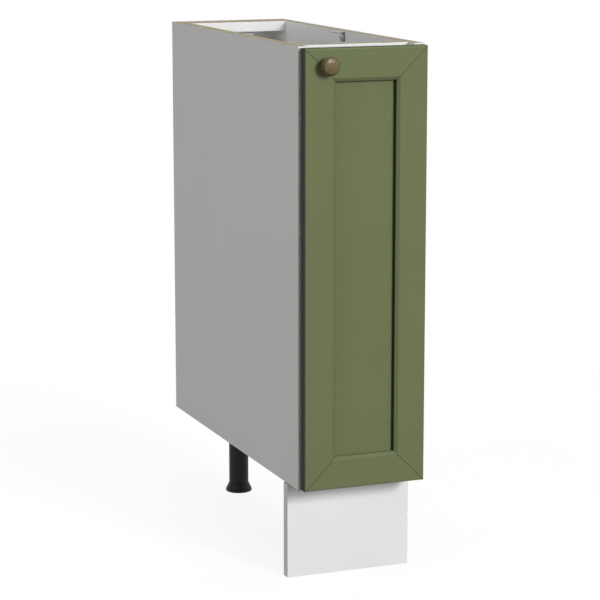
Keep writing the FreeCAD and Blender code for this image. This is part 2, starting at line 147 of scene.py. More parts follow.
def gridFaces(rows, columns, closedRows=False):
    # corner numbers of every cell of a grid whose columns run round and close
    cellRows = np.arange(rows if closedRows else rows - 1)
    row, column = np.meshgrid(cellRows, np.arange(columns), indexing="ij")
    here, below, beside = row * columns, (row + 1) % rows * columns, (column + 1) % columns
    return np.stack([here + column, here + beside, below + beside, below + column], -1).reshape(-1, 4)


def arc(centre, radii, fromAngle, toAngle, count):
    # points of an ellipse in the plane of radius and height: centre + radii * (cos a, sin a)
    angle = np.radians(np.linspace(fromAngle, toAngle, count))
    return np.stack([centre[0] + radii[0] * np.cos(angle), centre[1] + radii[1] * np.sin(angle)], -1)


def revolve(profile, sides):
    # the profile's (radius, height) carried round the Z axis: (r cos a, r sin a, h)
    angle = roundAngles(sides)
    radius, height = profile[:, :1], profile[:, 1:]
    return np.stack([radius * np.cos(angle), radius * np.sin(angle), height + 0 * angle], -1)


def stand(grid, place, axis):
    # moves a grid made about +Z so that it stands at a place and points along an axis
    axis = np.array(axis, float)
    side = np.array([0.0, 0.0, 1.0]) if abs(axis[2]) < 0.5 else np.array([1.0, 0.0, 0.0])
    return np.array(place) + grid @ np.stack([side, np.cross(axis, side), axis])


def threadZigzag(height, angle, pitch):
    # 1 at the root of a thread and 0 at its crest: |2 * fraction of (height / pitch - angle / 2 pi) - 1|
    return np.abs((height / pitch - angle / (2 * math.pi)) % 1 * 2 - 1)


def crossCut(grid, radius, width, reach, widthEase, reachEase):
    # 1 in a cross about the axis, eased to 0 where the lesser of |u|, |v| passes width or the greater passes
    # reach, all as shares of the radius
    u, v = np.abs(grid[..., 0]) / radius, np.abs(grid[..., 1]) / radius
    narrow = np.clip((width - np.minimum(u, v)) / widthEase, 0, 1)
    return narrow * np.clip((reach - np.maximum(u, v)) / reachEase, 0, 1)


mergeWithin = 1e-7         # metres between points that become one


def addPiece(name, grids, material, body, replaced, closedRows=False, sharpAngle=38):
    # one piece from grids of points (rows, columns, 3); points that meet at a pole are merged
    mesh = bpy.data.meshes.new(name)
    points = np.concatenate([grid.reshape(-1, 3) for grid in grids])
    starts = np.cumsum([0] + [grid.shape[0] * grid.shape[1] for grid in grids])
    faces = np.concatenate([gridFaces(*grid.shape[:2], closedRows) + start
                            for grid, start in zip(grids, starts)])
    mesh.from_pydata(points.tolist(), [], faces.tolist())
    shell = bmesh.new()
    shell.from_mesh(mesh)
    bmesh.ops.remove_doubles(shell, verts=shell.verts, dist=mergeWithin)
    bmesh.ops.recalc_face_normals(shell, faces=shell.faces)
    shell.to_mesh(mesh)
    shell.free()
    mesh.shade_smooth()
    mesh.set_sharp_from_angle(angle=math.radians(sharpAngle))
    mesh.materials.append(material)
    piece = bpy.data.objects.new(name, mesh)
    bpy.context.scene.collection.objects.link(piece)
    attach(piece, body)
    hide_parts(*replaced)


def solidsOf(nodeName):
    # the corner points of each separate solid of a node: corners of one triangle share their lowest number
    mesh = nodes[nodeName].data
    mesh.calc_loop_triangles()
    places = np.empty(len(mesh.vertices) * 3)
    mesh.vertices.foreach_get("co", places)
    corners = np.empty(len(mesh.loop_triangles) * 3, int)
    mesh.loop_triangles.foreach_get("vertices", corners)
    places, same = np.unique(np.round(places.reshape(-1, 3), 6), axis=0, return_inverse=True)
    triangles = same.reshape(-1)[corners].reshape(-1, 3)
    group, before = np.arange(len(places)), None
    while before is None or (group != before).any():
        before = group.copy()
        np.minimum.at(group, triangles, group[triangles].min(1, keepdims=True).repeat(3, 1))
    return [places[group == g] for g in np.unique(group)]


# White melamine-faced chipboard: a fine pearl on the faces, bare chips on the sawn edges
boardLook = {
    "white": srgb(237, 237, 236), "greyed": srgb(235, 235, 234), "cloud": 0.22, "cloudSpan": (0.35, 0.7),
    "pearl": 0.0007, "pearlHeight": 0.000025, "pearlStrength": 0.5, "specular": 0.3,
    "chipPale": srgb(188, 180, 152), "chipDark": srgb(138, 127, 101), "chip": 0.0021, "chipSpan": (0.1, 0.9),
    "chipLong": 1.5, "chipThin": 0.5, "chipRelief": 4, "skin": 0.00006,
    "glue": srgb(108, 98, 76), "dust": 0.0005, "dustSpan": (0.55, 0.75), "dustMost": 0.6,
    "roughness": 0.42, "smudge": 0.09, "smudgeRough": 0.12, "sawnRough": 0.4, "roughMost": 0.95,
}


def boardFinish(nodeName, sawnFaces):
    # sawnFaces such as "+z" name the sides of the node's box that have no white face
    look = boardLook
    lowest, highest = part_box(nodeName)
    material, wire, place = startFinish("melamine." + nodeName)
    along = place.split()
    sawn = None
    for side in sawnFaces:
        axis = "xyz".index(side[1])
        if side[0] == "+":
            onFace = along[axis] > highest[axis] - look["skin"]
        else:
            onFace = along[axis] < lowest[axis] + look["skin"]
        sawn = onFace if sawn is None else sawn | onFace
    cloud = place.noise(look["cloud"], detail=3.0)
    smudge = place.noise(look["smudge"], detail=4.0, seed=3.0)
    colour = cloud.ramp(*look["cloudSpan"]).tint(look["white"], look["greyed"])
    rough = look["roughness"] + smudge * look["smudgeRough"]
    relief = place.noise(look["pearl"], detail=1.0)
    if sawn is not None:
        # chips lie flat in the board, so they show long and thin on its edges
        flat = np.where(np.arange(3) == np.argmin(highest - lowest), look["chipThin"], look["chipLong"])
        chipTone = wire.add("SeparateColor", None, {0: place.cells(look["chip"], flat.tolist())})
        dust = place.noise(look["dust"], detail=2.0)
        chips = chipTone.ramp(*look["chipSpan"]).tint(look["chipPale"], look["chipDark"])
        chips = dust.ramp(*look["dustSpan"], 0.0, look["dustMost"]).tint(chips, look["glue"])
        colour = sawn.tint(colour, chips)
        rough = rough + sawn * look["sawnRough"]
        relief = relief * (1 - sawn) + sawn * (chipTone + dust) * look["chipRelief"]
    return endFinish(material, wire, {
        "Base Color": colour, "Roughness": rough & look["roughMost"],
        "Normal": relief.bump(look["pearlHeight"], look["pearlStrength"]),
        "Specular IOR Level": look["specular"]})


sawnEdges = {
    "left_side_panel": ("+z", "-z", "+y"), "right_side_panel": ("+z", "-z", "+y"),
    "bottom_panel": ("+y",), "front_top_rail": ("+z", "-z"), "rear_top_rail": ("+z", "+y"),
    "shelf": ("+y", "-x", "+x"), "plinth_board": (),
}
for nodeName, sawnFaces in sawnEdges.items():
    dress(nodeName, boardFinish(nodeName, sawnFaces))
print("boards:", len(sawnEdges))


# White plastic edge strip: a little smoother than the faces, with the drag marks of its trimming
stripLook = {
    "white": srgb(233, 233, 233), "worn": srgb(229, 229, 228), "patch": 0.05, "patchSpan": (0.35, 0.75),
    "drag": 0.0006, "dragAlong": (6, 1, 30), "dragHeight": 0.000012, "dragStrength": 0.5,
    "roughness": 0.34, "dragRough": 0.1, "specular": 0.35,
}


def stripFinish():
    look = stripLook
    material, wire, place = startFinish("edgeStrip")
    drag = place.noise(look["drag"], detail=2.0, stretch=look["dragAlong"])
    patch = place.noise(look["patch"], detail=3.0)
    return endFinish(material, wire, {
        "Base Color": patch.ramp(*look["patchSpan"]).tint(look["white"], look["worn"]),
        "Roughness": look["roughness"] + drag * look["dragRough"],
        "Normal": drag.bump(look["dragHeight"], look["dragStrength"]),
        "Specular IOR Level": look["specular"]})


edgeStrip = stripFinish()
for board in ("left", "right", "bottom", "shelf", "rear_rail"):
    dress(board + "_edge_band", edgeStrip)


# Hardboard back: white foil on the inside, brown pressed fibre on the outside and on its edges
hardboardLook = {
    "white": srgb(238, 238, 237), "foil": 0.0001,
    "fibrePale": srgb(150, 118, 84), "fibreDark": srgb(112, 84, 58), "fibreSpan": (0.3, 0.7),
    "fibre": 0.004, "fibreAlong": (1, 1, 3), "fleck": 0.0009, "fleckShare": 0.3,
    "screen": 0.0016, "screenHeight": 0.00008, "screenStrength": 0.6, "screenShare": 0.5, "foilRelief": 0.1,
    "roughness": 0.45, "bareRough": 0.3, "specular": 0.3,
}


def hardboardFinish():
    look = hardboardLook
    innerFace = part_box("back_panel")[0][1]
    material, wire, place = startFinish("hardboard")
    x, y, z = place.split()
    bare = y > innerFace + look["foil"]
    fibre = place.noise(look["fibre"], detail=5.0, stretch=look["fibreAlong"])
    fleck = place.noise(look["fleck"], detail=2.0, seed=5.0)
    brown = fibre.blend(fleck, look["fleckShare"]).ramp(*look["fibreSpan"])
    # pressed screen mark of the rough side: two crossed waves, sin x * sin z
    turn = 2 * math.pi / look["screen"]
    screen = wire.math("SINE", x * turn) * wire.math("SINE", z * turn)
    relief = bare * (screen * look["screenShare"] + fleck) + (1 - bare) * look["foilRelief"] * fleck
    return endFinish(material, wire, {
        "Base Color": bare.tint(look["white"], brown.tint(look["fibrePale"], look["fibreDark"])),
        "Roughness": look["roughness"] + bare * look["bareRough"],
        "Normal": relief.bump(look["screenHeight"], look["screenStrength"]),
        "Specular IOR Level": look["specular"]})


dress("back_panel", hardboardFinish())
print("edge strips and back panel")


# Olive lacquer on the door: satin with a very fine peel, darker and matt on the narrow outer edges, with
# painted shade on the bevels and a painted shadow along the panel's sides and top
lacquerLook = {
    "olive": srgb(106, 114, 80), "oliveDeep": srgb(104, 112, 78), "oliveSpan": (0.35, 0.65), "cloud": 0.12,
    "streak": 0.006, "streakAlong": (1, 1, 8), "streakShare": 0.3, "streakRough": 0.1, "roughness": 0.45,
    "specular": 0.2, "peel": 0.0012, "peelHeight": 0.00002, "peelStrength": 0.5,
    "edge": srgb(90, 97, 80), "edgeSkin": 0.0002, "edgeRoughness": 0.8, "edgeSpecular": 0.0,
    "seam": srgb(56, 62, 40), "seamWidth": (0.0003, 0.0008), "seamMost": 0.8,
    # the bevel tone and the dark line tone below are painted shade, on the bevels and along the panel's edges
    "paintedBevelShade": srgb(99, 107, 74), "bevelWidth": (0.0048, 0.0052), "bevelDrop": 0.0040,
    "paintedShade": srgb(40, 46, 30), "sideShadeWidth": (0.0002, 0.0008), "topShadeWidth": (0.0008, 0.0017),
}


def lacquerFinish():
    look = lacquerLook
    lowest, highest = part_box("door_left_stile")[0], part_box("door_right_stile")[1]
    innerLow = (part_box("door_left_stile")[1][0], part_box("door_bottom_rail")[1][2])
    innerHigh = (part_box("door_right_stile")[0][0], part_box("door_top_rail")[0][2])
    material, wire, place = startFinish("oliveLacquer")
    x, y, z = place.split()
    fromSide, fromEnd = (x - lowest[0]) & (highest[0] - x), (z - lowest[2]) & (highest[2] - z)
    edge = (fromSide & fromEnd) < look["edgeSkin"]
    # depth inside the frame's opening, negative on the frame itself; a dark line of painted shadow lies along
    # the stiles and, wider, along the top rail, and the bevel on the front gets a slightly deeper tone, painted
    # shade
    fromStiles, fromTop = (x - innerLow[0]) & (innerHigh[0] - x), innerHigh[1] - z
    inside = fromStiles & fromTop & (z - innerLow[1])
    onFrame = inside < -look["edgeSkin"]
    seam = abs(fromSide - fromEnd).ramp(*look["seamWidth"], look["seamMost"], 0.0) * onFrame
    paintedShadeLine = fromStiles.ramp(*look["sideShadeWidth"], 1.0, 0.0) | fromTop.ramp(*look["topShadeWidth"], 1.0, 0.0)
    bevelFrom, bevelTo = look["bevelWidth"]
    paintedBevelShade = inside.ramp(-bevelTo, -bevelFrom) * onFrame * (y < lowest[1] + look["bevelDrop"])
    cloud = place.noise(look["cloud"], detail=3.0)
    peel = place.noise(look["peel"], detail=2.0)
    streak = place.noise(look["streak"], detail=2.0, stretch=look["streakAlong"], seed=2.0)
    tone = cloud.blend(streak, look["streakShare"]).ramp(*look["oliveSpan"])
    # painted shade: the bevel is toned darker than the flat face of the frame
    olive = paintedBevelShade.tint(tone.tint(look["olive"], look["oliveDeep"]), look["paintedBevelShade"])
    olive = seam.tint(olive, look["seam"])
    # painted shadow: the frame's inner walls and the panel's edge next to them are darkened along the stiles
    # and the top rail
    olive = (paintedShadeLine * (1 - onFrame)).tint(olive, look["paintedShade"])
    relief = peel.bump(look["peelHeight"], look["peelStrength"])
    satin = wire.add("BsdfPrincipled", None, {
        "Base Color": olive, "Roughness": look["roughness"] + streak * look["streakRough"], "Normal": relief,
        "Specular IOR Level": look["specular"]})
    dull = wire.add("BsdfPrincipled", None, {
        "Base Color": look["edge"], "Roughness": look["edgeRoughness"], "Normal": relief,
        "Specular IOR Level": look["edgeSpecular"]})
    wire.add("OutputMaterial", None, {"Surface": wire.add("MixShader", None, {0: edge, 1: satin, 2: dull})})
    return material


oliveLacquer = lacquerFinish()
for board in ("left_stile", "right_stile", "top_rail", "bottom_rail", "panel"):
    dress("door_" + board, oliveLacquer)
print("door lacquer")


# Knob of aged bronze: a turned foot and neck, a thin rounded rim, a crease and a slightly uneven dome
knobShape = {
    "foot": 0.0080, "footHeight": 0.0020, "footEdge": 0.0004, "footRound": 0.0005, "neck": 0.0055,
    "neckFrom": 0.0052, "neckTo": 0.0090, "rim": 0.0140, "rimBead": 0.0010, "rimFrom": 0.0130,
    "crease": 0.0128, "creaseDepth": 0.0006, "creaseOut": 0.0001, "creaseIn": 0.0002,
    "domeFrom": 0.0168, "domeRise": 0.0081, "uneven": 0.00010, "dent": 0.0042, "sides": 144,
}
bronzeLook = {
    "rubbed": srgb(120, 107, 60), "aged": srgb(72, 62, 30), "agedSpan": (0.3, 0.7), "mottle": 0.0014,
    "patina": srgb(112, 95, 52), "patinaLeast": 0.8, "patinaMottle": 0.3, "rimSpan": (-0.0003, 0.0004),
    "crease": srgb(52, 42, 24), "creaseSpan": (0.0002, 0.0009), "creaseMost": 0.85,
    "dent": 0.0036, "dentHeight": 0.0006, "dentStrength": 0.4, "dentMottle": 0.2,
    "metal": 0.3, "rimMetal": 0.1, "roughness": 0.5, "mottleRough": 0.16, "specular": 0.2,
    "coat": 0.7, "rimCoat": 0.1, "coatRoughness": 0.12,
}


def bronzeFinish(middle):
    look, crease = bronzeLook, knobShape["crease"]
    material, wire, place = startFinish("agedBronze")
    x, y, z = place.split()
    fromCrease = ((x - middle[0]) ** 2 + (z - middle[2]) ** 2) ** 0.5 - crease
    mottle = place.noise(look["mottle"], detail=4.0)
    dent = place.noise(look["dent"], detail=1.5, seed=4.0)
    rim = fromCrease.ramp(*look["rimSpan"])
    inCrease = abs(fromCrease).ramp(*look["creaseSpan"], look["creaseMost"], 0.0)
    dome = mottle.ramp(*look["agedSpan"]).tint(look["rubbed"], look["aged"])
    colour = (rim * (look["patinaLeast"] + mottle * look["patinaMottle"])).tint(dome, look["patina"])
    return endFinish(material, wire, {
        "Base Color": inCrease.tint(colour, look["crease"]),
        "Metallic": look["metal"] - rim * (look["metal"] - look["rimMetal"]),
        "Roughness": look["roughness"] + mottle * look["mottleRough"], "Specular IOR Level": look["specular"],
        "Coat Weight": look["coat"] - rim * (look["coat"] - look["rimCoat"]),
        "Coat Roughness": look["coatRoughness"],
        "Normal": (dent + mottle * look["dentMottle"]).bump(look["dentHeight"], look["dentStrength"])})


def buildKnob():
    # profile of radius and distance in front of the door, carried round the knob's axis; the dome is lowered by
    # a product of two bent waves, sin(u + sin v) * cos(v + sin u), which fades out towards the crease
    shape = knobShape
    lowest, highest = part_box("knob")
    middle = (lowest + highest) / 2
    foot, neck, bead = shape["foot"], shape["neck"], shape["rimBead"]
    footEdge, footRound = shape["footEdge"], shape["footRound"]
    beadRadius, beadHeight = shape["rim"] - bead, shape["rimFrom"] + bead
    creaseFloor, domeRadius = shape["domeFrom"] - shape["creaseDepth"], shape["crease"] - shape["creaseIn"]
    profile = np.concatenate([
        [[0, 0], [foot - footEdge, 0]],
        arc((foot - footEdge, footEdge), (footEdge, footEdge), -90, 0, 4),
        arc((foot - footRound, shape["footHeight"] - footRound), (footRound, footRound), 0, 90, 4),
        arc((foot - footRound, shape["neckFrom"]),
            (foot - footRound - neck, shape["neckFrom"] - shape["footHeight"]), 268, 180, 8),
        arc((beadRadius, shape["neckTo"]),
            (beadRadius - neck, shape["rimFrom"] - shape["neckTo"]), 180, 92, 12),
        arc((beadRadius, beadHeight), (bead, shape["domeFrom"] - beadHeight), -30, 80, 12),
        [[shape["crease"] + shape["creaseOut"], creaseFloor], [domeRadius, creaseFloor]],
        arc((0, shape["domeFrom"]), (domeRadius, shape["domeRise"]), 0, 90, 48)])
    grid = revolve(profile, shape["sides"])
    share = np.clip(profile[:, :1] / shape["crease"], 0, 1)
    u, v = grid[..., 0] * 2 * math.pi / shape["dent"], grid[..., 1] * 2 * math.pi / shape["dent"]
    wave = np.sin(u + 1.3 * np.sin(0.7 * v)) * np.cos(0.9 * v + 1.1 * np.sin(0.6 * u + 1)) - 1
    grid[..., 2] += shape["uneven"] * (profile[:, 1:] > shape["domeFrom"]) * (1 - share ** 4) * wave
    grid = stand(grid, (middle[0], highest[1], middle[2]), (0, -1, 0))
    addPiece("knob_turned", [grid], bronzeFinish(middle), "door", ["knob"])


buildKnob()
print("knob")


# Black moulded plastic of the legs and plinth clips
plasticLook = {
    "black": srgb(21, 21, 21), "scuffed": srgb(28, 28, 27), "scuff": 0.02, "scuffAlong": (1, 1, 2),
    "scuffSpan": (0.45, 0.75), "grain": 0.0009, "grainHeight": 0.00004, "grainStrength": 0.5,
    "roughness": 0.3, "scuffRough": 0.2, "specular": 0.2,
}


def plasticFinish():
    look = plasticLook
    material, wire, place = startFinish("blackPlastic")
    grain = place.noise(look["grain"], detail=2.0)
    scuff = place.noise(look["scuff"], detail=4.0, stretch=look["scuffAlong"])
    return endFinish(material, wire, {
        "Base Color": scuff.ramp(*look["scuffSpan"]).tint(look["black"], look["scuffed"]),
        "Roughness": look["roughness"] + scuff * look["scuffRough"],
        "Normal": grain.bump(look["grainHeight"], look["grainStrength"]),
        "Specular IOR Level": look["specular"]})


blackPlastic = plasticFinish()
frontLegs = ("front_left", "front_right")
legs = (*frontLegs, "rear")
legBore = 0.0101
tubeShape = {
    "edge": 0.0005, "lip": 0.0002, "lowLip": 0.0035, "lowWall": 0.0045, "highWall": 0.0225, "highLip": 0.0215,
    "ribs": 24, "ribDepth": 0.00015, "sides": 96, "sharpAngle": 50,
}
footShape = {
    "tread": 0.0170, "treadDepth": 0.0014, "treadSlope": 0.0015, "rim": 0.0040, "rimRound": 0.0016,
    "rimSink": 0.4, "underTube": 0.0003, "inBore": 0.0001,
    "neckEdge": ((0.0, 0.0010), (0.0002, 0.0003), (0.0006, 0.0)),
    "pitch": 0.0030, "threadDepth": 0.0007, "threadRows": 8, "plainRows": 2, "endEdge": 0.0010,
    "sides": 96, "sharpAngle": 30,
}


def buildTube(leg):
    # closed profile of an outer wall with a lip at each end and a bore, carried round the leg's axis; fine
    # upright ribs come from the sign of a wave of the angle
    shape = tubeShape
    lowest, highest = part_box(leg + "_leg_tube")
    middle = (lowest + highest) / 2
    outer, edge = (highest[0] - lowest[0]) / 2, shape["edge"]
    length, wall = highest[2] - lowest[2], outer - shape["lip"]
    profile = np.array([
        [legBore, 0], [outer - edge, 0], [outer, edge], [outer, shape["lowLip"]], [wall, shape["lowWall"]],
        *([wall, length * share] for share in (0.25, 0.5, 0.75)), [wall, length - shape["highWall"]],
        [outer, length - shape["highLip"]], [outer, length], [legBore, length], [legBore, length / 2]])
    grid = revolve(profile, shape["sides"])
    rib = np.sign(np.cos(shape["ribs"] * roundAngles(shape["sides"]))) * (profile[:, :1] == wall)
    grid[..., :2] *= (1 + rib * shape["ribDepth"] / outer)[..., None]
    grid = stand(grid, (middle[0], middle[1], lowest[2]), (0, 0, 1))
    addPiece(leg + "_tube_moulded", [grid], blackPlastic, "carcass", [leg + "_leg_tube"],
             closedRows=True, sharpAngle=shape["sharpAngle"])


def buildFoot(leg):
    # a tread, a round edge and a flare, then a spindle whose radius falls by the zigzag of its thread
    shape = footShape
    nodeName = leg + "_foot"
    lowest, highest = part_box(nodeName)
    middle = (lowest + highest) / 2
    tubeLow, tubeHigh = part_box(leg + "_leg_tube")
    neck, neckHeight = (tubeHigh[0] - tubeLow[0]) / 2, tubeLow[2] - shape["underTube"]
    wide, rimRound = (highest[0] - lowest[0]) / 2, shape["rimRound"]
    spindle, top = legBore - shape["inBore"], highest[2]
    base = np.concatenate([
        [[0, shape["treadDepth"]], [shape["tread"] - shape["treadSlope"], shape["treadDepth"]],
         [shape["tread"], 0]],
        arc((wide - rimRound, rimRound), (rimRound, rimRound), -90, 0, 6),
        arc((wide - rimRound, shape["rim"] - rimRound * shape["rimSink"]), (rimRound, rimRound), 0, 35, 5),
        [[neck - inward, neckHeight - down] for inward, down in shape["neckEdge"]],
        [[spindle, neckHeight]]])
    turns = (top - neckHeight) / shape["pitch"]
    height = np.linspace(neckHeight, top - shape["endEdge"], int(turns * shape["threadRows"]))
    end = [[spindle - shape["endEdge"], top], [0, top]]
    profile = np.concatenate([base, np.stack([0 * height + spindle, height], -1), end])
    grid = revolve(profile, shape["sides"])
    thread = slice(len(base) + shape["plainRows"], -len(end) - shape["plainRows"])
    zigzag = threadZigzag(profile[thread, 1:], roundAngles(shape["sides"]), shape["pitch"])
    grid[thread, :, :2] *= (1 - shape["threadDepth"] / spindle * zigzag)[..., None]
    grid = stand(grid, (middle[0], middle[1], lowest[2]), (0, 0, 1))
    addPiece(leg + "_foot_moulded", [grid], blackPlastic, leg + "_foot", [nodeName],
             sharpAngle=shape["sharpAngle"])


for leg in legs:
    dress(leg + "_leg_flange", blackPlastic)
    buildTube(leg)
    buildFoot(leg)
for leg in frontLegs:
    dress(leg + "_plinth_clip", blackPlastic)
print("legs and clips:", len(legs), "legs")


# Plated steel: brushed along one axis, with faint cloudy plating
nickelLook = {"bright": srgb(214, 212, 206), "dull": srgb(186, 184, 178), "brush": 0.0004, "along": (1, 30, 1),
              "cloud": 0.012, "roughness": 0.2, "brushHeight": 0.000012}
screwLook = {"bright": srgb(206, 206, 204), "dull": srgb(168, 168, 164), "brush": 0.0003, "along": (1, 1, 1),
             "cloud": 0.003, "roughness": 0.26, "brushHeight": 0.00001}
zincLook = {"bright": srgb(190, 193, 196), "dull": srgb(160, 163, 167), "brush": 0.0007, "along": (1, 1, 1),
            "cloud": 0.006, "roughness": 0.36, "brushHeight": 0.00004}
platingLook = {"cloudSpan": (0.3, 0.7), "brushRough": 0.12, "cloudRough": 0.08, "brushStrength": 0.4}


def platedFinish(name, metalLook):
    look = {**platingLook, **metalLook}
    material, wire, place = startFinish(name)
    brush = place.noise(look["brush"], detail=2.0, stretch=look["along"])
    cloud = place.noise(look["cloud"], detail=4.0, seed=1.5)
    return endFinish(material, wire, {
        "Base Color": cloud.ramp(*look["cloudSpan"]).tint(look["bright"], look["dull"]), "Metallic": 1.0,
        "Roughness": look["roughness"] + brush * look["brushRough"] + cloud * look["cloudRough"],
        "Normal": brush.bump(look["brushHeight"], look["brushStrength"])})


nickelSteel = platedFinish("nickelSteel", nickelLook)
screwSteel = platedFinish("screwSteel", screwLook)
zincSteel = platedFinish("zincSteel", zincLook)
for level in ("lower", "upper"):
    for fitting in ("_mounting_plate", "_hinge_arm", "_hinge_lever", "_hinge_cup"):
        dress(level + fitting, nickelSteel)
for nodeName in ("hinge_arm_pins", "hinge_cup_pins", "shelf_pins"):
    dress(nodeName, nickelSteel)
for nodeName in ("cam_bolts", "back_panel_nails"):
    dress(nodeName, screwSteel)


# Screws: pan heads with a cross recess, and a thread that runs to a point; the dome, edges and cross are shares
# of the head's radius or height
screwBodies = {"mounting_plate_screws": "carcass", "hinge_arm_screws": "carcass", "hinge_cup_screws": "door",
               "worktop_bracket_screws": "carcass", "leg_flange_screws": "carcass",
               "plinth_clip_screws": "plinth", "knob_screw": "door"}
screwShape = {
    "headRows": 14, "headEdge": 0.94, "headSide": 0.45, "dome": 0.35, "crossWidth": 0.17, "crossReach": 0.62,
    "crossDepth": 0.62, "crossEase": 0.08, "crossEndEase": 0.24, "pitch": 0.0016, "threadDepth": 0.28,
    "threadRows": 6, "threadFrom": 0.0002, "point": 0.003, "pointWidth": 0.5, "sides": 48, "sharpAngle": 32,
    "endSlice": 0.00001, "endTaper": 0.93, "headSlice": 0.98,
}


def screwGrid(points):
    # head: height = top * (1 - dome * r^2), less a cross cut; shank: radius falls by the zigzag of its thread
    # and tapers to the point; the sizes come from one solid's corner points
    shape = screwShape
    lowest, highest = points.min(0), points.max(0)
    along = int(np.argmax(highest - lowest))
    across = [axis for axis in range(3) if axis != along]
    middle = (lowest + highest) / 2
    reach = np.abs(points[:, across] - middle[across]).max(1)
    lowEnd = points[:, along] < lowest[along] + shape["endSlice"]
    highEnd = points[:, along] > highest[along] - shape["endSlice"]
    headLow = reach[lowEnd].max() > reach[highEnd].max()
    headRadius, length = reach.max(), highest[along] - lowest[along]
    shank = reach[highEnd if headLow else lowEnd].max() / shape["endTaper"]
    depth = np.abs(points[:, along] - (lowest[along] if headLow else highest[along]))
    headHeight = depth[reach > headRadius * shape["headSlice"]].max()
    ring = np.linspace(0, shape["headEdge"], shape["headRows"])
    head = np.stack([ring * headRadius, headHeight * (1 - shape["dome"] * ring ** 2)], -1)
    under = [[headRadius, headHeight * shape["headSide"]], [headRadius, 0], [shank, 0]]
    threadTo, tip = length - headHeight - shape["point"], headHeight - length
    rows = int(threadTo / shape["pitch"] * shape["threadRows"])
    down = -np.linspace(shape["threadFrom"], threadTo, rows)
    point = [[shank * shape["pointWidth"], tip + shape["point"] / 2], [0, tip]]
    profile = np.concatenate([head, under, np.stack([0 * down + shank, down], -1), point])
    grid = revolve(profile, shape["sides"])
    cross = crossCut(grid[:len(head)], headRadius, shape["crossWidth"], shape["crossReach"], shape["crossEase"],
                     shape["crossEndEase"])
    grid[:len(head), :, 2] -= headHeight * shape["crossDepth"] * cross
    thread = slice(len(head) + len(under) + 2, -len(point) - 1)       # the shank's end rows stay plain
    zigzag = threadZigzag(grid[thread, :, 2], roundAngles(shape["sides"]), shape["pitch"])
    grid[thread, :, :2] *= (1 - shape["threadDepth"] * zigzag)[..., None]
    seat, outward = middle.copy(), np.zeros(3)
    outward[along] = -1 if headLow else 1
    seat[along] = lowest[along] + headHeight if headLow else highest[along] - headHeight
    return stand(grid, seat, outward)


for nodeName, body in screwBodies.items():
    addPiece(nodeName + "_cut", [screwGrid(points) for points in solidsOf(nodeName)], screwSteel, body,
             [nodeName], sharpAngle=screwShape["sharpAngle"])


# Cam housings: a round die-cast body with a cross slot and a raised rim on the face that shows
camShape = {"rows": 16, "faceEdge": 0.97, "edge": 0.0002, "rimFrom": 0.84, "rimHeight": 0.0003,
            "slotWidth": 0.1, "slotReach": 0.7, "slotEase": 0.07, "slotDepth": 0.0016, "sides": 64,
            "sharpAngle": 32}


def camGrid(points):
    # face: down by rimHeight within rimFrom and by slotDepth in a cross; then straight sides and a flat end
    shape = camShape
    lowest, highest = points.min(0), points.max(0)
    along = int(np.argmin(highest - lowest))
    radius, length = (highest - lowest).max() / 2, highest[along] - lowest[along]
    ring = np.linspace(0, shape["faceEdge"], shape["rows"])
    face = np.stack([ring * radius, -shape["rimHeight"] * (ring < shape["rimFrom"])], -1)
    sides = [[radius, -shape["edge"]], [radius, -length / 2], [radius, -length], [0, -length]]
    grid = revolve(np.concatenate([face, sides]), shape["sides"])
    slot = crossCut(grid[:len(face)], radius, shape["slotWidth"], shape["slotReach"], shape["slotEase"],
                    shape["slotEase"])
    grid[:len(face), :, 2] -= shape["slotDepth"] * slot
    facesBack = along == 1          # behind the front rail they face back, elsewhere down
    outward, seat = np.zeros(3), (lowest + highest) / 2
    outward[along] = 1 if facesBack else -1
    seat[along] = highest[along] if facesBack else lowest[along]
    return stand(grid, seat, outward)


addPiece("cam_housings_cast", [camGrid(points) for points in solidsOf("cam_housings")], zincSteel, "carcass",
         ["cam_housings"], sharpAngle=camShape["sharpAngle"])


# Worktop brackets: galvanised sheet with a faint spangle; the cut front edge is duller than the faces, and on
# the upright leg and at the free end of the plate it is darker still, painted shade
bracketLook = {
    "pale": srgb(180, 180, 178), "dull": srgb(166, 166, 164), "spangle": 0.0040, "spangleSpan": (0.4, 0.6),
    "cut": srgb(156, 156, 154), "paintedShadeEdge": srgb(112, 112, 110), "edgeWidth": 0.0004, "freeEnd": 0.0065,
    "flange": 0.0015, "grain": 0.0006, "grainHeight": 0.00001, "grainStrength": 0.4,
    "metal": 0.1, "roughness": 0.5, "spangleRough": 0.15, "specular": 0.15,
}


def bracketFinish(nodeName):
    look = bracketLook
    lowest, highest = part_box(nodeName)
    material, wire, place = startFinish("galvanised." + nodeName)
    x, y, z = place.split()
    grain = place.noise(look["grain"], detail=2.0)
    spangle = place.noise(look["spangle"], detail=1.0)
    frontEdge = y < lowest[1] + look["edgeWidth"]
    freeEnd = abs(x) < min(abs(lowest[0]), abs(highest[0])) + look["freeEnd"]
    # painted shade: the front edge of the upright leg and of the plate's free end take the darkest tone
    edge = (freeEnd | (z < highest[2] - look["flange"])).tint(look["cut"], look["paintedShadeEdge"])
    zinc = spangle.ramp(*look["spangleSpan"]).tint(look["pale"], look["dull"])
    return endFinish(material, wire, {
        "Base Color": frontEdge.tint(zinc, edge), "Metallic": look["metal"],
        "Roughness": look["roughness"] + spangle * look["spangleRough"], "Specular IOR Level": look["specular"],
        "Normal": grain.bump(look["grainHeight"], look["grainStrength"])})


for wall in ("left", "right", "front"):
    dress(wall + "_worktop_bracket", bracketFinish(wall + "_worktop_bracket"))
print("hinges, screws and fittings")


# Beech dowels with grain along their length
beechLook = {
    "pale": srgb(206, 172, 128), "dark": srgb(178, 140, 98), "toneSpan": (0.35, 0.65), "grain": 0.0008,
    "grainAlong": (16, 1, 1), "fleck": 0.0005, "fleckAlong": (5, 1, 1), "fleckShare": 0.3,
    "grainHeight": 0.00005, "grainStrength": 0.5, "roughness": 0.6, "fleckRough": 0.15,
}


